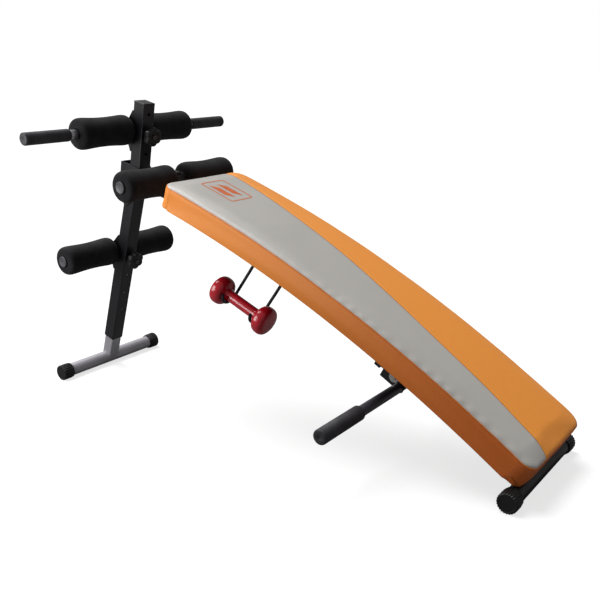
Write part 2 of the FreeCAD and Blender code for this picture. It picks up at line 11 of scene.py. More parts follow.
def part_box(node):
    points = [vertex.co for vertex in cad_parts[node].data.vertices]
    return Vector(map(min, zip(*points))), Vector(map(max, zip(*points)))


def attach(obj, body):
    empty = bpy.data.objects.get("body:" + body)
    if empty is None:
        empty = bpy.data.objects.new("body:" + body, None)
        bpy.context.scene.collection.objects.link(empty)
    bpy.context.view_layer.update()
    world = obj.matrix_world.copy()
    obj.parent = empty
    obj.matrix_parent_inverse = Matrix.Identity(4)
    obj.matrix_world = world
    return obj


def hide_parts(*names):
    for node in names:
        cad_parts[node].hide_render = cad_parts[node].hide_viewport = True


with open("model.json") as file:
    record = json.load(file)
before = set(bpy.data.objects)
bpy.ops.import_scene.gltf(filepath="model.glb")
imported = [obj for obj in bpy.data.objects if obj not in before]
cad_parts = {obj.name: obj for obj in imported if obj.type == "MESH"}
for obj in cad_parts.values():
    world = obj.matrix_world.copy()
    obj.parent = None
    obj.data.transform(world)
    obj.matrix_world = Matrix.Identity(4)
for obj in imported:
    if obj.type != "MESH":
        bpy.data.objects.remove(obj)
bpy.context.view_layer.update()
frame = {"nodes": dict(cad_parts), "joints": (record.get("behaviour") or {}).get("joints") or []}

# ---- where things are, in metres ----
ARCH = Vector((-1.44163, 0.0, -2.8722))   # centre of the arch that beam, board and pad follow
PAD_TOP = 3.683
COVER_BOTTOM = 3.6219      # the cover wraps under the board's edge
BEAM_TOP = 3.621
BEAM_BOTTOM = 3.581
BEAM_START = math.radians(15.67)          # the beam's upper end, at the mast
PAD_START = math.radians(18.96)
PAD_END = math.radians(36.50)
PAD_HALF = 0.144
PAD_LENGTH = (PAD_END - PAD_START) * PAD_TOP

joint = {j["name"]: j for j in frame["joints"]}
nodes = frame["nodes"]


def upright(direction, across=Vector((0, 1, 0))):
    """Axes with local z along the direction and local y across the bench."""
    z = Vector(direction).normalized()
    y = (across - across.dot(z) * z).normalized()
    return Matrix((y.cross(z), y, z)).transposed().to_4x4()


def at(point, direction=(0, 0, 1)):
    return Matrix.Translation(Vector(point)) @ upright(direction)


def on_arch(angle, radius, across=0.0):
    """A frame on the arch: z away from its centre, x down the slope."""
    out = Vector((math.sin(angle), 0, math.cos(angle)))
    return Matrix.Translation(ARCH + out * radius + Vector((0, across, 0))) @ upright(out)


LOWER_BAR = Vector(joint["lower_near_foam_spin"]["pos_m"])
MIDDLE_BAR = Vector(joint["middle_near_foam_spin"]["pos_m"])
TOP_BAR = Vector(joint["top_near_foam_spin"]["pos_m"])
LEG_DOWN = Vector(joint["foot_extend"]["axis"])
LEG_FRONT = Vector(joint["lower_knob_turn"]["axis"])
MAST_FRONT = Vector(joint["top_knob_turn"]["axis"])


def middle_of(name):
    """Centre of a node's box."""
    low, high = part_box(name)
    return (low + high) / 2


# ---- materials ----
def linear(code):
    """Linear colour of an sRGB hex code."""
    parts = [int(code[k:k + 2], 16) / 255 for k in (1, 3, 5)]
    return [p / 12.92 if p <= 0.04045 else ((p + 0.055) / 1.055) ** 2.4 for p in parts] + [1.0]


def add(tree, kind, settings=None, links=None):
    """Adds a shader node; links hold plain values or other nodes' outputs."""
    node = tree.nodes.new("ShaderNode" + kind)
    for key, value in (settings or {}).items():
        setattr(node, key, value)
    for key, value in (links or {}).items():
        if isinstance(value, bpy.types.NodeSocket):
            tree.links.new(value, node.inputs[key])
        else:
            node.inputs[key].default_value = value
    return node


def new_material(name, sockets):
    """An empty surface with the given shader values; returns material, tree and shader."""
    made = bpy.data.materials.new(name)
    made.use_nodes = True
    tree = made.node_tree
    tree.nodes.clear()
    shader = add(tree, "BsdfPrincipled", links=sockets)
    add(tree, "OutputMaterial", links={"Surface": shader.outputs["BSDF"]})
    return made, tree, shader


def surface(name, light, dark, grain_mm, bump_mm, rough, patch_mm=60, sockets=None, kind="NOISE"):
    """A material with two close colours in soft patches, a grain of real size and uneven gloss."""
    made, tree, shader = new_material(name, sockets or {})
    place = add(tree, "TexCoord").outputs["Object"]
    patches = add(tree, "TexNoise", links={"Vector": place, "Scale": 1000 / patch_mm, "Detail": 3.0})
    if kind == "PORES":
        grain = add(tree, "TexVoronoi", links={"Vector": place, "Scale": 1000 / grain_mm}).outputs["Distance"]
    else:
        grain = add(tree, "TexNoise",
                    links={"Vector": place, "Scale": 1000 / grain_mm, "Detail": 4.0}).outputs["Fac"]
    blend = add(tree, "MapRange", links={"Value": patches.outputs["Fac"], "From Min": 0.35, "From Max": 0.65})
    colour = add(tree, "Mix", {"data_type": "RGBA"},
                 {0: blend.outputs["Result"], 6: linear(light), 7: linear(dark)}).outputs[2]
    fine = add(tree, "MapRange", links={"Value": grain, "To Min": 0.86, "To Max": 1.08})
    colour = add(tree, "Mix", {"data_type": "RGBA", "blend_type": "MULTIPLY"},
                 {0: 1.0, 6: colour, 7: fine.outputs["Result"]}).outputs[2]
    gloss = add(tree, "MapRange", links={"Value": patches.outputs["Fac"], "From Min": 0.3, "From Max": 0.7,
                                         "To Min": rough[0], "To Max": rough[1]})
    bump = add(tree, "Bump", links={"Height": grain, "Distance": bump_mm / 1000, "Strength": 0.6})
    tree.links.new(colour, shader.inputs["Base Color"])
    tree.links.new(gloss.outputs["Result"], shader.inputs["Roughness"])
    tree.links.new(bump.outputs["Normal"], shader.inputs["Normal"])
    return made


# Powder-coated mild steel, baked on: satin black with a faint orange-peel skin.
powder_black = surface("powder_coated_steel_black", "#16151A", "#100F13", 2.2, 0.12, (0.32, 0.44),
                       sockets={"Specular IOR Level": 0.40})
# Satin black lacquer on the handle tube: a little greyer and smoother than the powder coat.
satin_black = surface("satin_lacquered_steel_black", "#47464D", "#3C3B42", 3.0, 0.04, (0.30, 0.40))
# Silver-grey enamel on the foot tube, with a little metal flake, slightly uneven.
enamel_silver = surface("metallic_enamel_silver_grey", "#A9A7AD", "#99979D", 1.6, 0.05, (0.34, 0.44),
                        sockets={"Metallic": 0.2})
# Chrome-plated steel tube, not polished before plating: bright but with soft reflections.
chromed_steel = surface("chrome_plated_steel", "#D4D5D8", "#C6C7CB", 5.0, 0.01, (0.24, 0.34),
                        sockets={"Metallic": 1.0})
# Zinc-plated bolts: pale and cloudy.
zinc_steel = surface("zinc_plated_steel", "#C9C8C4", "#AFAEAB", 3.0, 0.03, (0.26, 0.42), 8,
                     sockets={"Metallic": 1.0})
# Moulded polypropylene caps, plugs and knobs: fine spark-eroded grain.
moulded_black = surface("moulded_polypropylene_black", "#161518", "#101012", 0.9, 0.10, (0.44, 0.56), 30,
                        sockets={"Specular IOR Level": 0.35})
# Moulded end plugs of the roller bars: a paler grey plastic.
moulded_grey = surface("moulded_plastic_dark_grey", "#4C4C51", "#434348", 0.9, 0.08, (0.40, 0.50), 20)
# Dipped rubber grips: dull black with a slightly dusty look.
grip_rubber = surface("dipped_rubber_black", "#343337", "#2A292D", 1.1, 0.15, (0.60, 0.74), 25,
                      sockets={"Specular IOR Level": 0.35})
# Closed-cell nitrile foam sleeves: dead matt, covered with fine pores. The pores are drawn at 1.9 mm,
# coarser than the real ones, so that they show.
nitrile_foam = surface("nitrile_foam_black", "#1A191C", "#111012", 1.9, 0.75, (0.85, 0.95), 35,
                       sockets={"Specular IOR Level": 0.22, "Sheen Weight": 0.04, "Sheen Roughness": 0.5},
                       kind="PORES")
# Vinyl-dipped cast iron: thick wet-looking red skin with shallow ripples.
dipped_vinyl_red = surface("dipped_vinyl_red", "#C00C24", "#A5091D", 9.0, 0.006, (0.20, 0.28), 40,
                           sockets={"Coat Weight": 0.3, "Coat Roughness": 0.06})


def plywood():
    """Stained beech plywood: long grain along the bench, 4 mm growth bands."""
    made, tree, shader = new_material("stained_plywood", {})
    place = add(tree, "TexCoord").outputs["Object"]
    stretched = add(tree, "Mapping", links={"Vector": place, "Scale": (6.0, 250.0, 120.0)}).outputs["Vector"]
    grain = add(tree, "TexNoise", links={"Vector": stretched, "Scale": 1.0, "Detail": 6.0, "Distortion": 0.6})
    colour = add(tree, "Mix", {"data_type": "RGBA"},
                 {0: grain.outputs["Fac"], 6: linear("#5A4129"), 7: linear("#38271A")}).outputs[2]
    bump = add(tree, "Bump", links={"Height": grain.outputs["Fac"], "Distance": 0.0002, "Strength": 0.7})
    tree.links.new(colour, shader.inputs["Base Color"])
    tree.links.new(bump.outputs["Normal"], shader.inputs["Normal"])
    gloss = add(tree, "MapRange", links={"Value": grain.outputs["Fac"], "To Min": 0.5, "To Max": 0.7})
    tree.links.new(gloss.outputs["Result"], shader.inputs["Roughness"])
    return made


# Edge of the grey panel: (distance from the upper end, distance from the middle line), mm.
PANEL_EDGE = ((-60, 96), (0, 90), (37, 86), (135, 75), (292, 54), (470, 29), (639, 0), (796, -24),
              (940, -39), (1046, -53), (1102, -59), (1122, -65), (1131, -78), (1135, -104), (1137, -150))
EDGE_FROM, EDGE_TO = -60, 1140    # the stretch of pad that the edge is drawn for, mm
EDGE_REACH = 200                  # and how far it may go to each side, mm
PANEL_INSET = 0.0012      # the welt runs this far inside the pad's outline, measured round its edge
PAD_CORNER = 0.037
SEAM_WIDTH = 0.003876     # the dip along the sewn line between the panels
SEAM_DEPTH = 0.0016
SWELL_LIMIT = 0.0035      # how far the cover may move from the foam
CROWN = 0.0040
BED_INSET = 0.022         # the backboard's shallow bed, in from the pad's outline
BED_DEPTH = 0.0035


def panel_edge(along):
    """Edge of the grey panel in metres, at distances from the upper end."""
    return np.interp(along * 1000, [p[0] for p in PANEL_EDGE], [p[1] for p in PANEL_EDGE]) / 1000


def cover():
    """PVC-coated fabric in two panels: smooth satin grey, and orange with a 3 mm basket emboss."""
    made, tree, shader = new_material("pvc_coated_fabric_two_tone",
                                      {"Sheen Weight": 0.04, "Specular IOR Level": 0.35})
    flat = add(tree, "UVMap", {"uv_map": "unrolled"}).outputs["UV"]
    split = add(tree, "SeparateXYZ", links={"Vector": flat})
    along, across = split.outputs["X"], split.outputs["Y"]
    scaled = add(tree, "MapRange", links={"Value": along, "From Min": EDGE_FROM / 1000,
                                         "From Max": EDGE_TO / 1000})
    curve = add(tree, "FloatCurve", links={"Value": scaled.outputs["Result"]})
    line = curve.mapping.curves[0]
    while len(line.points) < len(PANEL_EDGE):
        line.points.new(0.5, 0.5)
    for point, (x, y) in zip(line.points, PANEL_EDGE):
        point.location = ((x - EDGE_FROM) / (EDGE_TO - EDGE_FROM), (y + EDGE_REACH) / (2 * EDGE_REACH))
        point.handle_type = "AUTO_CLAMPED"
    curve.mapping.update()
    edge = add(tree, "MapRange", links={"Value": curve.outputs["Value"], "To Min": -EDGE_REACH / 1000,
                                        "To Max": EDGE_REACH / 1000})
    past = add(tree, "Math", {"operation": "SUBTRACT"}, {0: across, 1: edge.outputs["Result"]}).outputs[0]
    below = add(tree, "Math", {"operation": "LESS_THAN"}, {0: past, 1: 0.0}).outputs[0]
    # inside the rounded rectangle of the welt
    bend = PAD_CORNER - PANEL_INSET
    reach = (PAD_LENGTH / 2 - PANEL_INSET - bend, PAD_HALF - PANEL_INSET - bend, 0)
    centred = add(tree, "VectorMath", {"operation": "SUBTRACT"}, {0: flat, 1: (PAD_LENGTH / 2, 0, 0)})
    folded = add(tree, "VectorMath", {"operation": "ABSOLUTE"}, {0: centred.outputs["Vector"]})
    beyond = add(tree, "VectorMath", {"operation": "SUBTRACT"}, {0: folded.outputs["Vector"], 1: reach})
    beyond = add(tree, "VectorMath", {"operation": "MAXIMUM"}, {0: beyond.outputs["Vector"], 1: (0, 0, 0)})
    away = add(tree, "VectorMath", {"operation": "LENGTH"}, {0: beyond.outputs["Vector"]}).outputs["Value"]
    inside = add(tree, "Math", {"operation": "LESS_THAN"}, {0: away, 1: bend}).outputs[0]
    grey = add(tree, "Math", {"operation": "MULTIPLY"}, {0: below, 1: inside}).outputs[0]

    turned = add(tree, "Mapping",
                 links={"Vector": flat, "Rotation": (0, 0, math.radians(45))}).outputs["Vector"]
    weave = add(tree, "TexChecker", links={"Vector": turned, "Scale": 1000 / 3.0, "Color1": (1, 1, 1, 1),
                                           "Color2": (0, 0, 0, 1)}).outputs["Fac"]
    threads = add(tree, "TexWave", {"wave_type": "BANDS", "bands_direction": "DIAGONAL"},
                  {"Vector": turned, "Scale": 240.0, "Distortion": 0.6, "Detail": 1.0}).outputs["Fac"]
    emboss = add(tree, "Mix", links={0: 0.5, 2: weave, 3: threads}).outputs[0]
    place = add(tree, "TexCoord").outputs["Object"]
    patches = add(tree, "TexNoise", links={"Vector": place, "Scale": 9.0, "Detail": 3.0}).outputs["Fac"]
    leather = add(tree, "TexVoronoi", links={"Vector": place, "Scale": 1000 / 1.6}).outputs["Distance"]

    orange = add(tree, "Mix", {"data_type": "RGBA"},
                 {0: emboss, 6: linear("#D57C20"), 7: linear("#FDA640")}).outputs[2]
    orange = add(tree, "Mix", {"data_type": "RGBA"},
                 {0: add(tree, "MapRange", links={"Value": patches, "To Max": 0.45}).outputs["Result"],
                  6: orange, 7: linear("#F0932E")}).outputs[2]
    # painted shade: the side wall is darkened, most of all at the low end
    lower = add(tree, "MapRange", {"interpolation_type": "SMOOTHSTEP"},
                {"Value": along, "From Min": 0.15, "From Max": 1.15}).outputs["Result"]
    low_end_painted_shade = add(tree, "Mix", {"data_type": "RGBA"},
                 {0: lower, 6: linear("#FFF4F4"), 7: linear("#D8AFA0")}).outputs[2]
    wall = add(tree, "Math", {"operation": "SUBTRACT"}, {0: 1.0, 1: inside}).outputs[0]
    orange = add(tree, "Mix", {"data_type": "RGBA", "blend_type": "MULTIPLY"},
                 {0: wall, 6: orange, 7: low_end_painted_shade}).outputs[2]
    plain = add(tree, "Mix", {"data_type": "RGBA"},
                {0: patches, 6: linear("#A9A6A1"), 7: linear("#B3B0AB")}).outputs[2]
    colour = add(tree, "Mix", {"data_type": "RGBA"}, {0: grey, 6: orange, 7: plain}).outputs[2]

    apart = add(tree, "Math", {"operation": "ABSOLUTE"}, {0: past}).outputs[0]
    crease = add(tree, "MapRange", links={"Value": apart, "From Min": 0.0005, "From Max": 0.0022})
    shade = add(tree, "MapRange", links={"Value": crease.outputs["Result"], "To Min": 0.50})
    colour = add(tree, "Mix", {"data_type": "RGBA", "blend_type": "MULTIPLY"},
                 {0: 1.0, 6: colour, 7: shade.outputs["Result"]}).outputs[2]
    rough = add(tree, "Mix", links={0: grey, 2: 0.46, 3: 0.36}).outputs[0]
    uneven = add(tree, "MapRange", links={"Value": patches, "To Min": -0.05, "To Max": 0.06})
    rough = add(tree, "Math", {"operation": "ADD"}, {0: rough, 1: uneven.outputs["Result"]}).outputs[0]
    height = add(tree, "Mix", links={0: grey, 2: emboss, 3: leather}).outputs[0]
    bump = add(tree, "Bump", links={"Height": height, "Distance": 0.00040, "Strength": 0.7})
    tree.links.new(colour, shader.inputs["Base Color"])
    tree.links.new(rough, shader.inputs["Roughness"])
    tree.links.new(bump.outputs["Normal"], shader.inputs["Normal"])
    return made


pad_cover = cover()
stained_plywood = plywood()
# Welt cord in the same orange cover, a little darker.
welt_vinyl = surface("pvc_welt_orange", "#D0741E", "#BE6616", 1.2, 0.06, (0.40, 0.5), 30)
# Screen-printed mark: dull ink.
ink_pale = surface("printed_ink_pale_orange", "#C96A2C", "#BE6024", 0.8, 0.02, (0.5, 0.6), 15)
ink_orange = surface("printed_ink_orange", "#C65C1A", "#B95214", 0.8, 0.02, (0.5, 0.6), 15)

for name, node in nodes.items():
    painted = powder_black
    if name in ("leg_inner_tube", "front_foot_tube"):
        painted = enamel_silver
    elif name == "top_bar":
        painted = chromed_steel
    elif "bolt" in name or "screw" in name or "stud" in name:
        painted = zinc_steel
    elif name == "lower_foam_discs":
        painted = moulded_grey
    elif any(word in name for word in ("plug", "disc", "cap", "knob", "bushing")):
        painted = moulded_black
    elif "grip" in name:
        painted = grip_rubber
    elif "foam" in name:
        painted = nitrile_foam
    elif name == "pad_board":
        painted = stained_plywood
    elif name == "dumbbell":
        painted = dipped_vinyl_red
    node.data.materials.clear()
    node.data.materials.append(painted)
for name in ("fold_stop_bolt", "middle_bar_bolt"):
    nodes[name].data.materials[0] = powder_black
nodes["handle_bar"].data.materials[0] = satin_black
nodes["handle_stud_nut"].data.materials[0] = moulded_black


# ---- making pieces ----
def piece(name, bm, material, body, replaces=(), place=None, smooth=40):
    """Turns a bmesh into a finished piece that rides on a body."""
    bmesh.ops.remove_doubles(bm, verts=bm.verts, dist=1e-6)
    bmesh.ops.recalc_face_normals(bm, faces=bm.faces)
    if place is not None:
        bmesh.ops.transform(bm, matrix=place, verts=bm.verts)
        if place.determinant() < 0:
            bmesh.ops.reverse_faces(bm, faces=bm.faces)
    mesh = bpy.data.meshes.new(name)
    bm.to_mesh(mesh)
    bm.free()
    made = bpy.data.objects.new(name, mesh)
    bpy.context.collection.objects.link(made)
    mesh.materials.append(material)
    mesh.shade_smooth()
    mesh.set_sharp_from_angle(angle=math.radians(smooth))
    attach(made, body)
    if replaces:
        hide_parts(*replaces)
    return made


def rounded(made):
    """Finishes a piece with a live subdivision surface."""
    finish = made.modifiers.new("rounded", "SUBSURF")
    finish.levels = 2
    finish.render_levels = 2


def turned_shape(profile, steps=48, closed=False):
    """Spins (distance along Y, radius) points round the Y axis, in millimetres."""
    bm = bmesh.new()
    points = [bm.verts.new((0, y / 1000, r / 1000)) for y, r in profile]
    pairs = list(zip(points, points[1:])) + ([(points[-1], points[0])] if closed else [])
    edges = [bm.edges.new(pair) for pair in pairs]
    bmesh.ops.spin(bm, geom=points + edges, cent=(0, 0, 0), axis=(0, 1, 0), dvec=(0, 0, 0),
                   angle=2 * math.pi, steps=steps, use_merge=True, use_duplicate=False)
    bmesh.ops.remove_doubles(bm, verts=bm.verts, dist=1e-7)
    return bm


def lobed_shape(radius, lobes, depth, levels, steps):
    """A fluted boss along Y: levels are (distance along Y, share of the radius), in millimetres."""
    bm = bmesh.new()
    bmesh.ops.create_circle(bm, cap_ends=True, radius=radius / 1000, segments=steps,
                            matrix=Matrix.Rotation(math.radians(-90), 4, "X"))
    for vert in bm.verts:
        angle = math.atan2(vert.co.z, vert.co.x)
        dip = 0.5 - 0.5 * math.cos(lobes * angle)
        vert.co *= 1 - depth / radius * dip ** 1.5
    first = face = bm.faces[:][0]
    start, was = levels[0]
    for vert in bm.verts:
        vert.co = Vector((vert.co.x * was, start / 1000, vert.co.z * was))
    for y, share in levels[1:]:
        made = bmesh.ops.extrude_face_region(bm, geom=[face])
        if face is not first:
            bmesh.ops.delete(bm, geom=[face], context="FACES_ONLY")
        fresh = [g for g in made["geom"] if isinstance(g, bmesh.types.BMVert)]
        face = next(g for g in made["geom"] if isinstance(g, bmesh.types.BMFace))
        for vert in fresh:
            vert.co = Vector((vert.co.x * share / was, y / 1000, vert.co.z * share / was))
        was = share
    return bm


def join(bm, other):
    """Adds another bmesh to this one and frees it."""
    carrier = bpy.data.meshes.new("carrier")
    other.to_mesh(carrier)
    bm.from_mesh(carrier)
    other.free()
    bpy.data.meshes.remove(carrier)


def mirrored(matrix, side):
    """The same place on the near (-1) or far (1) side."""
    return matrix @ Matrix.Scale(side, 4, (0, 1, 0))


# ---- foam rollers ----
def foam_roller(name, node, body, axis_point, side):
    """Waisted foam sleeve with soft ends and shallow dents."""
    low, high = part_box(node)
    start, end = sorted((abs(low.y) * 1000, abs(high.y) * 1000))
    mid = (start + end) / 2
    outline = [(start + 2.5, 13.3), (start + 0.4, 16.0), (start, 24.0), (start + 0.8, 33.5),
               (start + 5.0, 39.3), (start + 15.0, 41.0), (start + 30.0, 40.3), (start + 52.0, 38.6),
               (mid, 37.6), (end - 52.0, 38.6), (end - 30.0, 40.3), (end - 15.0, 41.0), (end - 5.0, 39.3),
               (end - 0.8, 33.5), (end, 24.0), (end - 0.4, 16.0), (end - 2.5, 13.3), (mid, 13.3)]
    bm = turned_shape(outline, 40, closed=True)
    seed = Vector((axis_point.x * 7, side * 3.1, axis_point.z * 5))
    for vert in bm.verts:
        if math.hypot(vert.co.x, vert.co.z) < 0.02:
            continue
        dent = noise.noise(vert.co * 22 + seed) * 0.0006
        vert.co.x *= 1 + dent / 0.04
        vert.co.z *= 1 + dent / 0.04
    made = piece(name, bm, nitrile_foam, body, (node,), mirrored(Matrix.Translation(axis_point), side),
                 smooth=180)
    rounded(made)


for row, centre in (("lower", LOWER_BAR), ("middle", MIDDLE_BAR), ("top", TOP_BAR)):
    for word, side in (("near", -1), ("far", 1)):
        foam_roller(f"foam_roller_{row}_{word}", f"{row}_foam_{word}", f"{row}_{word}_foam", centre, side)


# ---- bar ends and grips ----
def bar_end(name, axis_point, half, side, body):
    """Moulded end plug with a shallow dish and a rounded rim."""
    outline = [(half, 15.3), (half + 2.8, 15.3), (half + 3.9, 14.0), (half + 3.9, 12.2), (half + 3.0, 11.0),
               (half + 3.0, 3.5), (half + 2.2, 2.6), (half + 2.2, 0.0)]
    bm = turned_shape(outline, 40)
    hub = turned_shape([(half - 12, 0.0), (half - 12, 10.9), (half, 10.9), (half, 15.3)], 40)
    join(bm, hub)
    return piece(name, bm, moulded_grey, body, (), mirrored(Matrix.Translation(axis_point), side))


for row, centre, body in (("lower", LOWER_BAR, "lower_roller_bar"), ("middle", MIDDLE_BAR, "frame")):
    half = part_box(f"{row}_bar")[1].y * 1000
    for word, side in (("near", -1), ("far", 1)):
        made = bar_end(f"{row}_bar_end_{word}", centre, half, side, body)
        if side > 0:
            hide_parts(f"{row}_bar_plugs")


def grip_sleeve(name, node, body, axis_point, side, shoulder):
    """Rubber grip: an inner shoulder, three grooves near its end, and a closed round tip."""
    low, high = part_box(node)
    start, end = sorted((abs(low.y) * 1000, abs(high.y) * 1000))
    big = (high.z - low.z) * 500
    bore = 12.56
    outline = [(start, bore), (start, bore + 1.6), (start + shoulder, big - 0.4),
               (start + shoulder + 1.5, big)]
    for band in range(3):
        y = end - 20 + band * 5.0
        outline += [(y, big), (y + 0.8, big - 0.7), (y + 1.6, big)]
    outline += [(end - 3.2, big), (end - 1.0, big - 0.9), (end, big - 3.2), (end, 5.0), (end - 1.6, 3.4),
                (end - 1.6, 0.0)]
    bm = turned_shape(outline, 48)
    inner = turned_shape([(start, bore), (end - 2.9, bore), (end - 2.9, 0.0)], 48)
    join(bm, inner)
    return piece(name, bm, grip_rubber, body, (node,), mirrored(Matrix.Translation(axis_point), side),
                 smooth=50)


HANDLE = middle_of("handle_bar")
for word, side in (("near", -1), ("far", 1)):
    grip_sleeve(f"top_rubber_grip_{word}", f"top_grip_{word}", "top_roller_bar", TOP_BAR, side, 3)
    grip_sleeve(f"handle_rubber_grip_{word}", f"handle_grip_{word}", "frame", HANDLE, side, 2)


# ---- foot caps ----
def foot_cap(name, node, body, side):
    """Soft plastic cap: a smooth sleeve, a ribbed band and a rounded end."""
    low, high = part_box(node)
    start, end = sorted((abs(low.y) * 1000, abs(high.y) * 1000))
    centre = (low + high) / 2
    axis_point = Vector((centre.x, 0, high.z - 0.0235))
    levels = [(start, 0.82), (start, 0.93), (start + 1.5, 0.96), (start + 7, 0.97), (start + 8.5, 1.0),
              (end - 3.5, 1.0), (end - 1.2, 0.975), (end, 0.92), (end, 0.80), (end - 0.8, 0.76),
              (end - 0.8, 0.2)]
    bm = lobed_shape(23.5, 24, 1.7, levels, 192)
    for vert in bm.verts:
        vert.co.z = max(vert.co.z, -0.0229)
    return piece(name, bm, moulded_black, body, (node,), mirrored(Matrix.Translation(axis_point), side),
                 smooth=38)


for word, side in (("near", -1), ("far", 1)):
    foot_cap(f"ribbed_front_cap_{word}", f"front_foot_cap_{word}", "front_foot", side)
    foot_cap(f"ribbed_rear_cap_{word}", f"rear_foot_cap_{word}", "frame", side)


# ---- star knobs ----
def star_knob(name, node, body, point, direction):
    """Six-lobed knob with a dished face and a cap screw in the middle."""
    turn = at(point, direction) @ Matrix.Rotation(math.radians(90), 4, "X")
    levels = [(0.4, 0.40), (0.4, 0.46), (9.0, 0.46), (11.0, 0.76), (12.5, 0.92), (15.0, 1.0), (24.5, 1.0),
              (28.0, 0.96), (30.0, 0.86), (30.7, 0.72), (30.2, 0.52), (28.4, 0.40), (28.4, 0.28)]
    bm = lobed_shape(26.0, 6, 3.8, levels, 96)
    piece(name, bm, moulded_black, body, (node,), turn, smooth=45)
    outline = [(28.0, 0.0), (28.0, 6.6), (31.4, 6.6), (32.2, 5.8), (32.2, 3.4), (29.6, 3.2), (29.6, 0.0)]
    piece(name + "_screw", turned_shape(outline, 24), moulded_grey, body, (), turn, smooth=35)


star_knob("lower_star_knob", "lower_bar_knob", "lower_knob",
          Vector(joint["lower_knob_turn"]["pos_m"]), LEG_FRONT)
star_knob("top_star_knob", "top_bar_knob", "top_knob", Vector(joint["top_knob_turn"]["pos_m"]), MAST_FRONT)


# ---- dumbbell ----
def dumbbell(name, node, body, slope):
    """Dipped dumbbell: two thick round-edged heads on a plain handle with a flared neck."""
    low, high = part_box(node)
    centre = (low + high) / 2
    half = 90.0
    outline = [(-half, 0.0), (-half, 15.0), (-half + 0.7, 26.5), (-half + 4.0, 33.6), (-half + 10.5, 36.9),
               (-half + 22.0, 37.0), (-half + 30.5, 34.0), (-half + 35.5, 27.0), (-half + 37.5, 18.5),
               (-half + 40.0, 15.2), (-half + 50.0, 14.3), (-20.0, 14.3), (0.0, 14.4)]
    outline += [(-y, r) for y, r in reversed(outline[:-1])]
    lengthwise = Matrix.Rotation(math.radians(-90), 4, "Z")
    turn = Matrix.Translation(centre) @ Matrix.Rotation(slope, 4, "Y") @ lengthwise
    made = piece(name, turned_shape(outline, 40), dipped_vinyl_red, body, (node,), turn, smooth=180)
    rounded(made)


dumbbell("dipped_dumbbell", "dumbbell", "dumbbell_weight", math.radians(23.91))


# ---- weld beads ----
def bead(name, points, radius_mm, body, closed=True, material=None):
    """A slightly rippled round bead along a line of points: a weld, or the pad's welt."""
    line = bpy.data.curves.new(name, "CURVE")
    line.dimensions = "3D"
    line.bevel_depth = radius_mm / 1000
    line.bevel_resolution = 3
    line.resolution_u = 6
    spline = line.splines.new("NURBS")
    spline.points.add(len(points) - 1)
    for point, co in zip(spline.points, points):
        point.co = (*co, 1)
        point.radius = 1.0 + 0.18 * math.sin(37 * co[0] + 91 * co[1] + 53 * co[2])
    spline.use_cyclic_u = closed
    spline.order_u = 3
    spline.use_endpoint_u = not closed
    line.use_fill_caps = not closed
    draft = bpy.data.objects.new("draft", line)
    bpy.context.collection.objects.link(draft)
    bpy.context.view_layer.update()
    mesh = bpy.data.meshes.new_from_object(draft.evaluated_get(bpy.context.evaluated_depsgraph_get()))
    bpy.data.objects.remove(draft)
    made = bpy.data.objects.new(name, mesh)
    mesh.name = name
    bpy.context.collection.objects.link(made)
    mesh.materials.clear()
    mesh.materials.append(material or powder_black)
    mesh.shade_smooth()
    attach(made, body)
    return made


def square_loop(place, half, per_side=9):
    """Points round a square in the place's own x-y plane, half is in metres."""
    corners = [(-half, -half), (half, -half), (half, half), (-half, half)]
    points = []
    for (x0, y0), (x1, y1) in zip(corners, corners[1:] + corners[:1]):
        for k in range(per_side):
            share = k / per_side
            points.append(place @ Vector((x0 + (x1 - x0) * share, y0 + (y1 - y0) * share, 0)))
    return points


# beam to mast
beam_start = on_arch(BEAM_START, (BEAM_TOP + BEAM_BOTTOM) / 2)
seam_place = beam_start @ Matrix.Rotation(math.radians(90), 4, "Y")
bead("weld_beam_to_mast", square_loop(seam_place, 0.0203), 1.9, "frame")
# handle bracket to beam, along the top edge of each cheek
bracket_angle = math.atan2(HANDLE.x - ARCH.x, HANDLE.z - ARCH.z)
bracket_radius_mm = 3607.0
for word, side in (("near", -1), ("far", 1)):
    line = [on_arch(bracket_angle + x / bracket_radius_mm, BEAM_BOTTOM + 0.0261, side * 0.0216).translation
            for x in range(-52, 33, 7)]
    bead(f"weld_bracket_{word}", line, 1.5, "frame", closed=False)
# each hook's shank to the side of the beam
for word in ("upper", "lower"):
    shank = middle_of(f"dumbbell_hook_{word}")
    hook_angle = math.atan2(shank.x - ARCH.x, shank.z - ARCH.z)
    for edge, shift in (("a", -0.0036), ("b", 0.0036)):
        line = [on_arch(hook_angle + shift / BEAM_BOTTOM, BEAM_BOTTOM + rise / 1000, -0.0212).translation
                for rise in range(4, 22, 3)]
        bead(f"weld_hook_{word}_{edge}", line, 1.2, "frame", closed=False)


def leg_seam():
    """Points where the square leg tube, with its round corners, stands on the round foot tube."""
    foot = middle_of("front_foot_tube")
    leg_half, foot_radius = 0.0178, 0.0190
    ring = []
    for k in range(36):
        angle = 2 * math.pi * k / 36
        square = min(1 / max(abs(math.cos(angle)), abs(math.sin(angle))), 1.25)
        flat_point = Vector((leg_half * square * math.cos(angle), leg_half * square * math.sin(angle), 0))
        local = at((0, 0, 0), -LEG_DOWN) @ flat_point
        lift = math.sqrt(max(0.0, foot_radius ** 2 - (local.dot(LEG_FRONT)) ** 2))
        ring.append(foot + local - LEG_DOWN * (lift - local.dot(-LEG_DOWN)))
    return ring


bead("weld_leg_to_foot", leg_seam(), 1.8, "front_foot", material=enamel_silver)


# ---- pad ----
def arch_place(along, across, radius):
    """A point from its distance along the pad's top, across it, and its radius."""
    angle = PAD_START + along / PAD_TOP
    return ARCH + Vector((radius * math.sin(angle), across, radius * math.cos(angle)))


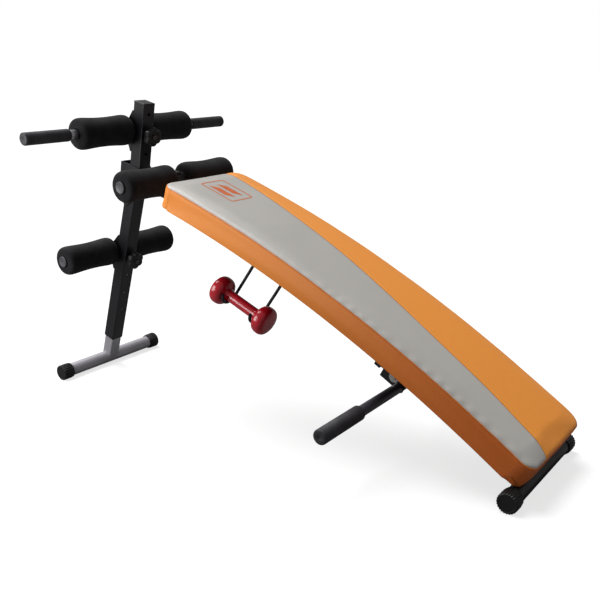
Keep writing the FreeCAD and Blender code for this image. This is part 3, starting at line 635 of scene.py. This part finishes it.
def unrolled(points):
    """Distance along, across and radius of each point."""
    x, z = points[:, 0] - ARCH.x, points[:, 2] - ARCH.z
    return (np.arctan2(x, z) - PAD_START) * PAD_TOP, points[:, 1], np.hypot(x, z)


def vertex_values(mesh, what="co"):
    """Every vertex's place, or another vector that it holds, as rows of x, y and z."""
    values = np.empty(len(mesh.vertices) * 3)
    mesh.vertices.foreach_get(what, values)
    return values.reshape(-1, 3)


def apply_all(made):
    """Applies every modifier of a piece."""
    bpy.context.view_layer.update()
    final = bpy.data.meshes.new_from_object(made.evaluated_get(bpy.context.evaluated_depsgraph_get()))
    made.modifiers.clear()
    made.vertex_groups.clear()
    old = made.data
    made.data = final
    bpy.data.meshes.remove(old)


def foam_block():
    """The cushion's foam as a flat block with rounded plan corners and top edges, bent onto the arch."""
    bm = bmesh.new()
    bmesh.ops.create_cube(bm, size=1.0)
    height = PAD_TOP - COVER_BOTTOM
    bmesh.ops.scale(bm, vec=(PAD_LENGTH, 2 * PAD_HALF, height), verts=bm.verts)
    bmesh.ops.translate(bm, vec=(PAD_LENGTH / 2, 0, height / 2), verts=bm.verts)
    upright_edges = [e for e in bm.edges if abs(e.verts[0].co.z - e.verts[1].co.z) > 0.01]
    bmesh.ops.bevel(bm, geom=upright_edges, offset=PAD_CORNER, segments=10, profile=0.5, affect="EDGES",
                    material=-1)
    rim = [e for e in bm.edges if all(v.co.z > height - 1e-5 for v in e.verts)]
    bmesh.ops.bevel(bm, geom=rim, offset=0.008, segments=5, profile=0.5, affect="EDGES", material=-1)
    mesh = bpy.data.meshes.new("padded_cushion")
    bm.to_mesh(mesh)
    bm.free()
    made = bpy.data.objects.new("padded_cushion", mesh)
    bpy.context.collection.objects.link(made)
    remesh = made.modifiers.new("remesh", "REMESH")
    remesh.mode = "VOXEL"
    remesh.voxel_size = 0.006
    apply_all(made)
    flat = vertex_values(made.data)
    depth = np.maximum(0.0, height - 0.001 - flat[:, 2])
    u = np.where(flat[:, 0] < PAD_CORNER, flat[:, 0] - depth, flat[:, 0])
    u = np.where(flat[:, 0] > PAD_LENGTH - PAD_CORNER, flat[:, 0] + depth, u)
    v = flat[:, 1] + np.sign(flat[:, 1]) * depth
    layer = made.data.uv_layers.new(name="unrolled")
    index = np.empty(len(made.data.loops), np.int32)
    made.data.loops.foreach_get("vertex_index", index)
    layer.data.foreach_set("uv", np.stack([u[index], v[index]], 1).ravel())
    angle = PAD_START + flat[:, 0] / PAD_TOP
    radius = COVER_BOTTOM + flat[:, 2]
    bent = np.stack([ARCH.x + radius * np.sin(angle), flat[:, 1], ARCH.z + radius * np.cos(angle)], 1)
    made.data.vertices.foreach_set("co", bent.ravel())
    made.data.update()
    return made


def cushion():
    """Foam block in a sewn cover: swollen by pressure on a fixed base, then given its seams."""
    made = foam_block()
    start = vertex_values(made.data)
    along, across, radius = unrolled(start)
    normals = vertex_values(made.data, "normal")
    fixed = radius < COVER_BOTTOM + 0.007
    shrunk = start - normals * 0.0010 * (~fixed)[:, None]
    made.data.vertices.foreach_set("co", shrunk.ravel())
    made.data.update()

    group = made.vertex_groups.new(name="glued")
    group.add([int(k) for k in np.nonzero(fixed)[0]], 1.0, "REPLACE")
    cloth = made.modifiers.new("cloth", "CLOTH")
    cloth.settings.use_pressure = True
    cloth.settings.uniform_pressure_force = 4.0
    cloth.settings.effector_weights.gravity = 0.0
    cloth.settings.vertex_group_mass = "glued"
    cloth.settings.quality = 4
    cloth.settings.tension_stiffness = 25
    cloth.settings.compression_stiffness = 25
    cloth.settings.shear_stiffness = 10
    cloth.settings.bending_stiffness = 2.0
    cloth.point_cache.frame_start = 1
    cloth.point_cache.frame_end = 20
    scene = bpy.context.scene
    for step in range(1, 21):
        scene.frame_set(step)
    apply_all(made)
    scene.frame_set(1)
    moved = vertex_values(made.data) - shrunk
    length = np.linalg.norm(moved, axis=1, keepdims=True)
    moved *= np.minimum(1.0, SWELL_LIMIT / np.maximum(length, 1e-9))
    # a thick vinyl cover spreads the swelling out evenly
    pairs = np.empty(len(made.data.edges) * 2, np.int32)
    made.data.edges.foreach_get("vertices", pairs)
    pairs = pairs.reshape(-1, 2)
    ties = np.bincount(pairs.ravel(), minlength=len(moved))[:, None]
    for _ in range(12):
        pull = np.zeros_like(moved)
        np.add.at(pull, pairs[:, 0], moved[pairs[:, 1]])
        np.add.at(pull, pairs[:, 1], moved[pairs[:, 0]])
        moved = 0.5 * moved + 0.5 * pull / ties
    moved[fixed] = 0
    print("cushion swelled up to", float(length.max()), "and on average", float(length.mean()))
    made.data.vertices.foreach_set("co", (shrunk + moved).ravel())
    made.data.update()
    smooth = made.modifiers.new("smooth", "SMOOTH")
    smooth.factor = 0.5
    smooth.iterations = 4
    divide = made.modifiers.new("divide", "SUBSURF")
    divide.levels = 1
    divide.render_levels = 1
    apply_all(made)

    points = vertex_values(made.data)
    along, across, radius = unrolled(points)
    outward = np.stack([points[:, 0] - ARCH.x, np.zeros(len(points)), points[:, 2] - ARCH.z], 1)
    outward /= np.linalg.norm(outward, axis=1, keepdims=True)
    on_top = np.clip((radius - (PAD_TOP - 0.016)) / 0.010, 0, 1)
    on_top = on_top * on_top * (3 - 2 * on_top)
    # a low crown across the top, sinking to the seams
    crown = CROWN * np.clip(1 - (across / PAD_HALF) ** 6, 0, 1) * np.clip(
        np.minimum(along, PAD_LENGTH - along) / 0.05, 0, 1)
    points += outward * (crown * on_top)[:, None]
    # the sewn line between the two panels
    groove = np.exp(-((across - panel_edge(along)) / SEAM_WIDTH) ** 2) * SEAM_DEPTH
    points -= outward * (groove * on_top)[:, None]
    # gathers along the near seam of the grey panel, strongest towards the low end
    gathers = np.sin(along * 2 * math.pi / 0.034 + 1.7 * np.sin(along * 21.0)) * 0.0005
    gathers *= np.exp(-((across + PAD_HALF - 0.013) / 0.008) ** 2) * np.clip((along - 0.25) / 0.6, 0, 1)
    points += outward * (gathers * on_top)[:, None]
    # a shallow bed underneath for the backboard
    near_end = np.minimum(along, PAD_LENGTH - along) - BED_INSET + 0.002
    near_rim = np.minimum(near_end, PAD_HALF - BED_INSET - np.abs(across))
    bed = np.clip(near_rim / 0.004, 0, 1) * BED_DEPTH
    points += outward * (bed * (radius < COVER_BOTTOM + 0.003))[:, None]
    top_limit = PAD_TOP + 0.0060
    _, _, radius = unrolled(points)
    points -= outward * np.maximum(radius - top_limit, 0)[:, None]
    made.data.vertices.foreach_set("co", points.ravel())
    made.data.update()

    made.data.materials.clear()
    made.data.materials.append(pad_cover)
    made.data.shade_smooth()
    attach(made, "frame")
    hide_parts("pad_cushion")
    return made


pad = cushion()
skin = bmesh.new()
skin.from_mesh(pad.data)
pad_surface = BVHTree.FromBMesh(skin)
skin.free()


def on_pad(along, across, lift=0.0):
    """The point of the cushion's top at a place on the pad."""
    outside = arch_place(along, across, PAD_TOP + 0.05)
    inward = (ARCH + Vector((0, across, 0)) - outside).normalized()
    hit, _, _, _ = pad_surface.ray_cast(outside, inward)
    return hit - inward * lift


def welt_path(inset=0.0036):
    """Points along the sewn edge of the top panel, once round the pad."""
    half_w = PAD_HALF - inset
    low, high = inset, PAD_LENGTH - inset
    radius = PAD_CORNER - inset
    points = []
    corners = [(high - radius, half_w - radius, 0), (low + radius, half_w - radius, 90),
               (low + radius, -half_w + radius, 180), (high - radius, -half_w + radius, 270)]
    for (cx, cy, turn), (nx, ny, _) in zip(corners, corners[1:] + corners[:1]):
        for k in range(13):
            angle = math.radians(turn + 90 * k / 12)
            points.append((cx + radius * math.cos(angle), cy + radius * math.sin(angle)))
        ex, ey = points[-1]
        angle = math.radians(turn + 90)
        sx, sy = nx + radius * math.cos(angle), ny + radius * math.sin(angle)
        runs = max(4, int(math.hypot(sx - ex, sy - ey) / 0.02))
        points += [(ex + (sx - ex) * k / runs, ey + (sy - ey) * k / runs) for k in range(1, runs)]
    placed = []
    for along, across in points:
        probe = arch_place(along, across, PAD_TOP - 0.0036)
        near, normal, _, _ = pad_surface.find_nearest(probe)
        placed.append(near + normal * 0.0002)
    return placed


welt = bead("sewn_welt", welt_path(), 1.1, "frame", material=welt_vinyl)


BOARD_MIDDLE = 3.6228


def backboard():
    """The board's bare middle, seen from below inside the turned-in cover."""
    bm = bmesh.new()
    bmesh.ops.create_cube(bm, size=1.0)
    length, width = PAD_LENGTH - 0.042, 2 * PAD_HALF - 0.046
    bmesh.ops.scale(bm, vec=(length, width, 0.0028), verts=bm.verts)
    bmesh.ops.translate(bm, vec=(PAD_LENGTH / 2, 0, 0), verts=bm.verts)
    corners = [e for e in bm.edges if abs(e.verts[0].co.z - e.verts[1].co.z) > 0.001]
    bmesh.ops.bevel(bm, geom=corners, offset=0.016, segments=6, profile=0.5, affect="EDGES", material=-1)
    for step in range(1, 48):
        cut = PAD_LENGTH / 2 - length / 2 + length * step / 48
        bmesh.ops.bisect_plane(bm, geom=bm.verts[:] + bm.edges[:] + bm.faces[:], plane_co=(cut, 0, 0),
                               plane_no=(1, 0, 0))
    for vert in bm.verts:
        vert.co = arch_place(vert.co.x, vert.co.y, BOARD_MIDDLE + vert.co.z)
    return piece("plywood_backboard", bm, stained_plywood, "frame", ("pad_board",))


def staples():
    """Wire staples that hold the turned-in cover under the board."""
    bm = bmesh.new()
    edge = PAD_HALF - 0.016
    spots = [(0.06 + 0.05 * k, side * edge, 0) for k in range(21) for side in (-1, 1)]
    spots += [(at_end, -0.10 + 0.05 * k, 1) for k in range(5) for at_end in (0.015, PAD_LENGTH - 0.015)]
    for along, across, turned in spots:
        made = bmesh.ops.create_cube(bm, size=1.0)["verts"]
        size = (0.0012, 0.010, 0.0010) if turned else (0.010, 0.0012, 0.0010)
        bmesh.ops.scale(bm, vec=size, verts=made)
        for vert in made:
            vert.co = arch_place(along + vert.co.x, across + vert.co.y, COVER_BOTTOM - 0.0003 + vert.co.z)
    return piece("cover_staples", bm, zinc_steel, "frame")


backboard()
staples()


def printed(name, outline, material, holes=()):
    """A thin printed shape laid on the pad; the outline is (along, across) in millimetres."""
    bm = bmesh.new()
    loop = [bm.verts.new((x / 1000, y / 1000, 0)) for x, y in outline]
    rim = [bm.edges.new(pair) for pair in zip(loop, loop[1:] + loop[:1])]
    for hole in holes:
        inner = [bm.verts.new((x / 1000, y / 1000, 0)) for x, y in hole]
        rim += [bm.edges.new(pair) for pair in zip(inner, inner[1:] + inner[:1])]
    bmesh.ops.triangle_fill(bm, edges=rim, use_beauty=True)
    bmesh.ops.subdivide_edges(bm, edges=bm.edges, cuts=3, use_grid_fill=True)
    bmesh.ops.triangulate(bm, faces=bm.faces)
    for vert in bm.verts:
        vert.co = on_pad(vert.co.x, vert.co.y, 0.0003)
    piece(name, bm, material, "frame", smooth=180)


def rounded_box(x0, x1, y0, y1, r):
    """Outline of a rectangle with round corners."""
    points = []
    corners = ((x1 - r, y1 - r, 0), (x0 + r, y1 - r, 90), (x0 + r, y0 + r, 180), (x1 - r, y0 + r, 270))
    for cx, cy, turn in corners:
        for k in range(5):
            angle = math.radians(turn + 22.5 * k)
            points.append((cx + r * math.cos(angle), cy + r * math.sin(angle)))
    return points


# a plain mark: a rounded outline round two slanting bars
printed("printed_outline", rounded_box(54, 168, -54, 26, 9), ink_pale, [rounded_box(58, 164, -50, 22, 6)])
for index, across in enumerate((-40, -12)):
    bar = [(72, across), (130, across), (150, across + 18), (92, across + 18)]
    printed(f"printed_bar_{index + 1}", bar, ink_orange)


# ---- floor, light and camera ----
def studio_floor():
    """White paper that glows a little for the eye, so that shadows stay pale, but bounces little light."""
    bm = bmesh.new()
    bmesh.ops.create_circle(bm, cap_ends=True, radius=60.0, segments=64)
    mesh = bpy.data.meshes.new("studio_floor")
    bm.to_mesh(mesh)
    bm.free()
    floor = bpy.data.objects.new("studio_floor", mesh)
    bpy.context.collection.objects.link(floor)
    paper, tree, shader = new_material("seamless_paper_white", {"Roughness": 0.95, "Specular IOR Level": 0.0,
                                                                "Emission Color": linear("#FFFFFF")})
    seen = add(tree, "LightPath").outputs["Is Camera Ray"]
    tone = add(tree, "Mix", {"data_type": "RGBA"}, {0: seen, 6: linear("#757575"), 7: linear("#969696")})
    glow = add(tree, "MapRange", links={"Value": seen, "To Max": 0.72})
    tree.links.new(tone.outputs[2], shader.inputs["Base Color"])
    tree.links.new(glow.outputs["Result"], shader.inputs["Emission Strength"])
    mesh.materials.append(paper)


def studio_air():
    """Plain white air, dimmer as a light than it looks."""
    world = bpy.data.worlds.new("studio_air")
    world.use_nodes = True
    air = world.node_tree.nodes["Background"]
    air.inputs["Color"].default_value = (1, 1, 1, 1)
    seen = add(world.node_tree, "LightPath").outputs["Is Camera Ray"]
    strength = add(world.node_tree, "MapRange", links={"Value": seen, "To Min": 0.26, "To Max": 1.0})
    world.node_tree.links.new(strength.outputs["Result"], air.inputs["Strength"])
    bpy.context.scene.world = world


def lamp(name, kind, place, aim, energy, size):
    """A light the camera doesn't see; size is degrees for a sun and metres for a softbox."""
    light = bpy.data.lights.new(name, kind)
    light.energy = energy
    if kind == "SUN":
        light.angle = math.radians(size)
    else:
        light.size = size
    made = bpy.data.objects.new(name, light)
    made.location = place
    made.visible_camera = False
    made.rotation_euler = (Vector(aim) - Vector(place)).to_track_quat("-Z", "Y").to_euler()
    bpy.context.collection.objects.link(made)


def camera_eye():
    """The camera, from its place, its turn and tilt, and a small roll."""
    eye = bpy.data.cameras.new("studio_camera")
    camera = bpy.data.objects.new("studio_camera", eye)
    bpy.context.collection.objects.link(camera)
    turn, lift, roll = math.radians(37.007), math.radians(17.497), math.radians(-2.365)
    ahead = Vector((-math.sin(turn) * math.cos(lift), math.cos(turn) * math.cos(lift), -math.sin(lift)))
    level = Vector((math.cos(turn), math.sin(turn), 0))
    above = level.cross(ahead)
    right = math.cos(roll) * level + math.sin(roll) * above
    top = -math.sin(roll) * level + math.cos(roll) * above
    axes = Matrix((right, top, -ahead)).transposed().to_4x4()
    camera.matrix_world = Matrix.Translation((1.22637, -1.4279, 0.8320)) @ axes
    eye.sensor_width = 36.0
    eye.lens = 45.8085
    eye.shift_x = -0.04418
    eye.shift_y = 0.03731
    bpy.context.scene.camera = camera


studio_floor()
studio_air()
lamp("overhead_sun", "SUN", (-1.6, 0.3, 3.6), (0, 0, 0.4), 3.7, 40)
lamp("left_softbox", "AREA", (-0.75, -1.05, 0.78), (-0.2, -0.14, 0.58), 11, 0.7)
camera_eye()
bpy.context.scene.view_settings.view_transform = "Standard"
